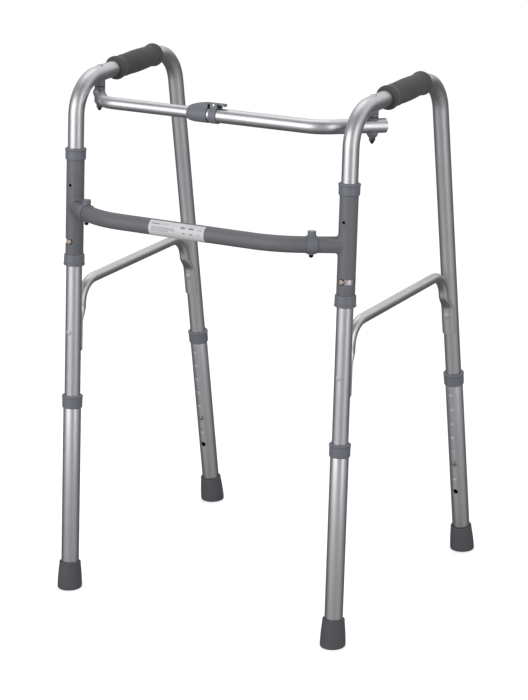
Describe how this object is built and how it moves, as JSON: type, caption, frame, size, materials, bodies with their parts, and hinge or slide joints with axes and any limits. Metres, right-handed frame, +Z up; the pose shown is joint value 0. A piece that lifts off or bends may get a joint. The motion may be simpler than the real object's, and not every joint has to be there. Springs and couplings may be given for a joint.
{
  "type": "walking frame",
  "caption": "Folding aluminium walking frame with hinged side frames, telescopic legs, a bowed crossbar, a sliding top bar with a lock, foam grips and rubber feet.",
  "frame": {"origin": "centre of the base on the floor, halfway between the feet", "axes": "+X to the right when standing in front and facing the crossbar, +Y back towards the user, +Z up"},
  "size_m": [0.5341, 0.4842, 0.844],
  "materials": {
    "frame_aluminium": "satin anodised",
    "sleeve_paint": "matt grey powder coat",
    "grey_plastic": "moulded, matt",
    "grip_foam": "soft closed-cell foam",
    "foot_rubber": "moulded, matt",
    "dark_steel": "blackened",
    "bright_steel": "bright zinc",
    "brass": "satin",
    "label_film": "satin film"
  },
  "bodies": {
    "front_frame": {"left_sleeve": "sleeve_paint", "left_upper_cap": "grey_plastic", "left_lower_cap": "grey_plastic", "left_clamp": "grey_plastic", "right_sleeve": "sleeve_paint", "right_upper_cap": "grey_plastic", "right_lower_cap": "grey_plastic", "right_clamp": "grey_plastic", "crossbar": "sleeve_paint", "label": "label_film", "clamp_screws": "dark_steel"},
    "left_side": {"left_tube": "frame_aluminium", "left_grip": "grip_foam", "left_brace": "frame_aluminium", "left_brace_bolts": "bright_steel", "left_saddle": "grey_plastic", "left_pivot_bolt": "bright_steel", "left_dome_nut": "dark_steel"},
    "right_side": {"right_tube": "frame_aluminium", "right_grip": "grip_foam", "right_brace": "frame_aluminium", "right_brace_bolts": "bright_steel", "right_saddle": "grey_plastic", "right_pivot_bolt": "bright_steel"},
    "left_washer": {"left_washer": "dark_steel"},
    "left_bar": {"left_bar": "frame_aluminium", "left_bar_saddle": "grey_plastic", "left_cup_washer": "grey_plastic"},
    "bar_glide": {"bar_glide": "grey_plastic"},
    "right_bar": {"right_bar": "frame_aluminium", "right_washer": "dark_steel", "right_bar_saddle": "grey_plastic", "right_cup_washer": "grey_plastic", "right_dome_nut": "dark_steel", "lock_nose": "grey_plastic", "lock_ring": "grey_plastic", "lock_axle": "bright_steel", "lock_spring": "dark_steel"},
    "lock_lever": {"lock_lever": "grey_plastic", "lock_pin": "brass"},
    "left_front_leg": {"left_front_leg": "frame_aluminium", "left_front_collar": "grey_plastic", "left_front_foot": "foot_rubber"},
    "left_front_button": {"left_front_button": "brass"},
    "left_rear_leg": {"left_rear_leg": "frame_aluminium", "left_rear_collar": "grey_plastic", "left_rear_foot": "foot_rubber"},
    "left_rear_button": {"left_rear_button": "brass"},
    "left_fold_button": {"left_fold_button": "bright_steel"},
    "right_front_leg": {"right_front_leg": "frame_aluminium", "right_front_collar": "grey_plastic", "right_front_foot": "foot_rubber"},
    "right_front_button": {"right_front_button": "brass"},
    "right_rear_leg": {"right_rear_leg": "frame_aluminium", "right_rear_collar": "grey_plastic", "right_rear_foot": "foot_rubber"},
    "right_rear_button": {"right_rear_button": "brass"},
    "right_fold_button": {"right_fold_button": "bright_steel"}
  },
  "joints": [
    {"name": "left_fold", "type": "hinge", "parent": "front_frame", "child": "left_side", "pos_m": [-0.246, -0.16102, 0.62699], "axis": [0, 0.0976, 0.9952], "range_deg": [-85, 0], "deforming": ["left_fold_button", "lock_pin"]},
    {"name": "right_fold", "type": "hinge", "parent": "front_frame", "child": "right_side", "pos_m": [0.246, -0.16102, 0.62699], "axis": [0, 0.0976, 0.9952], "range_deg": [0, 85], "deforming": ["right_fold_button", "lock_pin"]},
    {"name": "left_pivot", "type": "hinge", "parent": "left_side", "child": "left_washer", "pos_m": [-0.246, -0.07955, 0.79183], "axis": [0, 0.0976, 0.9952], "range_deg": [0, 92.92]},
    {"name": "left_bar_turn", "type": "hinge", "parent": "left_washer", "child": "left_bar", "pos_m": [-0.246, -0.07955, 0.79183], "axis": [0, 0.0976, 0.9952], "range_deg": [-7.92, 0]},
    {"name": "glide_slide", "type": "slide", "parent": "left_bar", "child": "bar_glide", "axis": [1, 0, 0], "range_m": [-0.0608, 0]},
    {"name": "bar_slide", "type": "slide", "parent": "bar_glide", "child": "right_bar", "axis": [1, 0, 0], "range_m": [-0.0608, 0]},
    {"name": "lever_tilt", "type": "hinge", "parent": "right_bar", "child": "lock_lever", "pos_m": [0.012, -0.14666, 0.81449], "axis": [0, 0.9952, -0.0976], "range_deg": [0, 9], "stiffness_Nm_per_rad": 0.15, "springref_deg": -5.73, "deforming": ["lock_spring"]},
    {"name": "left_front_leg_slide", "type": "slide", "parent": "left_side", "child": "left_front_leg", "axis": [0, 0.0976, 0.9952], "range_m": [-0.127, 0.0508], "deforming": ["left_front_button"]},
    {"name": "left_front_button_press", "type": "slide", "parent": "left_side", "child": "left_front_button", "axis": [0, -0.9952, 0.0976], "range_m": [0, 0.0043], "stiffness_N_per_m": 1500, "springref_m": -0.002},
    {"name": "left_rear_leg_slide", "type": "slide", "parent": "left_side", "child": "left_rear_leg", "axis": [0, -0.1011, 0.9949], "range_m": [-0.127, 0.0508], "deforming": ["left_rear_button"]},
    {"name": "left_rear_button_press", "type": "slide", "parent": "left_side", "child": "left_rear_button", "axis": [0, 0.9949, 0.1011], "range_m": [0, 0.0043], "stiffness_N_per_m": 1500, "springref_m": -0.002},
    {"name": "left_fold_button_press", "type": "slide", "parent": "left_side", "child": "left_fold_button", "axis": [0, 0.9952, -0.0976], "range_m": [0, 0.0037], "stiffness_N_per_m": 1500, "springref_m": -0.002},
    {"name": "right_front_leg_slide", "type": "slide", "parent": "right_side", "child": "right_front_leg", "axis": [0, 0.0976, 0.9952], "range_m": [-0.127, 0.0508], "deforming": ["right_front_button"]},
    {"name": "right_front_button_press", "type": "slide", "parent": "right_side", "child": "right_front_button", "axis": [0, -0.9952, 0.0976], "range_m": [0, 0.0043], "stiffness_N_per_m": 1500, "springref_m": -0.002},
    {"name": "right_rear_leg_slide", "type": "slide", "parent": "right_side", "child": "right_rear_leg", "axis": [0, -0.1011, 0.9949], "range_m": [-0.127, 0.0508], "deforming": ["right_rear_button"]},
    {"name": "right_rear_button_press", "type": "slide", "parent": "right_side", "child": "right_rear_button", "axis": [0, 0.9949, 0.1011], "range_m": [0, 0.0043], "stiffness_N_per_m": 1500, "springref_m": -0.002},
    {"name": "right_fold_button_press", "type": "slide", "parent": "right_side", "child": "right_fold_button", "axis": [0, 0.9952, -0.0976], "range_m": [0, 0.0037], "stiffness_N_per_m": 1500, "springref_m": -0.002}
  ],
  "couplings": [
    {"joint": "left_pivot", "follows": "left_fold", "ratio": -1.093},
    {"joint": "left_bar_turn", "follows": "right_fold", "ratio": -0.093018},
    {"joint": "glide_slide", "follows": "left_fold", "m_per_rad": 0.040884},
    {"joint": "bar_slide", "follows": "right_fold", "m_per_rad": -0.040884}
  ]
}
